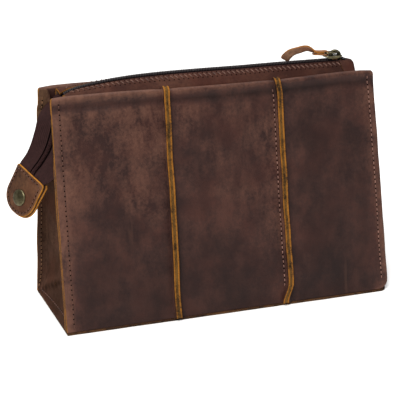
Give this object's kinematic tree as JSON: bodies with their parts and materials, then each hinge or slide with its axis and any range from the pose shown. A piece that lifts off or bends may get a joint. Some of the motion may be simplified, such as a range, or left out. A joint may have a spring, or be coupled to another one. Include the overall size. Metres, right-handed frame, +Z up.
{
  "type": "leather wash bag",
  "caption": "Wedge-shaped leather wash bag with panelled walls, folding side gussets, a zip between stitched facings, and a zip tail that ends in a snap tab.",
  "frame": {"origin": "centre of the underside of the base panel, which the bag stands on", "axes": "+X along the zip to the closed slider's end, -Y towards the front wall, +Z up"},
  "size_m": [0.3098, 0.1068, 0.2054],
  "materials": {
    "body_leather": "oiled, matt sheen, worn lighter along the edges",
    "gusset_leather": "oiled, matt",
    "facing_leather": "oiled, matt, hand stitched",
    "tab_leather": "oiled, with raw amber edges",
    "lace_leather": "oiled lace with raw amber edges",
    "seam_core": "dark raw core",
    "lining": "plain weave cotton",
    "stiffener": "plain board",
    "zip_tape": "woven polyester tape",
    "zip_coil": "nylon coil",
    "antique_brass": "dark antique, brushed, brighter on rims"
  },
  "bodies": {
    "base": {"base_panel": "body_leather", "base_board": "stiffener", "base_lining": "lining", "left_gusset": "gusset_leather", "right_gusset": "gusset_leather", "left_gusset_lining": "lining", "right_gusset_lining": "lining", "snap_stud": "antique_brass", "stud_washer": "antique_brass"},
    "front_wall": {"front_panel_left": "body_leather", "front_panel_middle": "body_leather", "front_panel_right": "body_leather", "front_seam_core_left": "seam_core", "front_seam_core_right": "seam_core", "front_lip_left": "gusset_leather", "front_lip_right": "gusset_leather", "front_lining": "lining", "front_facing": "facing_leather", "front_tape": "zip_tape", "front_coil": "zip_coil", "front_zip_stop": "zip_coil", "front_end_patch": "facing_leather"},
    "slider": {"slider_body": "antique_brass"},
    "pull": {"pull_link": "antique_brass"},
    "lace": {"pull_loop": "lace_leather", "pull_lace": "lace_leather"},
    "tail": {"tail_tape": "zip_tape", "tail_coil": "zip_coil"},
    "tab": {"tab_outer": "tab_leather", "tab_inner": "tab_leather", "tab_filler": "zip_tape", "snap_cap": "antique_brass", "snap_socket": "antique_brass"},
    "back_wall": {"back_panel_left": "body_leather", "back_panel_middle": "body_leather", "back_panel_right": "body_leather", "back_seam_core_left": "seam_core", "back_seam_core_right": "seam_core", "back_lip_left": "gusset_leather", "back_lip_right": "gusset_leather", "back_lining": "lining", "back_facing": "facing_leather", "back_tape": "zip_tape", "back_coil": "zip_coil", "back_zip_stop": "zip_coil", "back_end_patch": "facing_leather"}
  },
  "joints": [
    {"name": "slider_travel", "type": "slide", "parent": "base", "child": "slider", "axis": [-1, 0, 0], "range_m": [0, 0.19]},
    {"name": "front_wall_open", "type": "hinge", "parent": "base", "child": "front_wall", "pos_m": [0, -0.05, 0.0024], "axis": [1, 0, 0], "range_deg": [0, 6.6]},
    {"name": "back_wall_open", "type": "hinge", "parent": "base", "child": "back_wall", "pos_m": [0, 0.05, 0.0024], "axis": [-1, 0, 0], "range_deg": [0, 6.6]},
    {"name": "pull_swing", "type": "hinge", "parent": "slider", "child": "pull", "pos_m": [0.1074, 0, 0.1978], "axis": [0, 1, 0], "range_deg": [0, 150]},
    {"name": "lace_swing", "type": "hinge", "parent": "pull", "child": "lace", "pos_m": [0.0989, 0, 0.1978], "axis": [0, 1, 0], "range_deg": [0, 60]},
    {"name": "tail_lift", "type": "hinge", "parent": "base", "child": "tail", "pos_m": [-0.1306, 0, 0.1801], "axis": [0, 1, 0], "range_deg": [-4, 95]},
    {"name": "tab_bend", "type": "hinge", "parent": "tail", "child": "tab", "pos_m": [-0.1533, -0.0022, 0.1204], "axis": [-0.4013, 0.8288, 0.39], "range_deg": [-8, 70]}
  ],
  "couplings": [
    {"joint": "front_wall_open", "follows": "slider_travel", "rad_per_m": 0.59709},
    {"joint": "back_wall_open", "follows": "slider_travel", "rad_per_m": 0.59709}
  ]
}
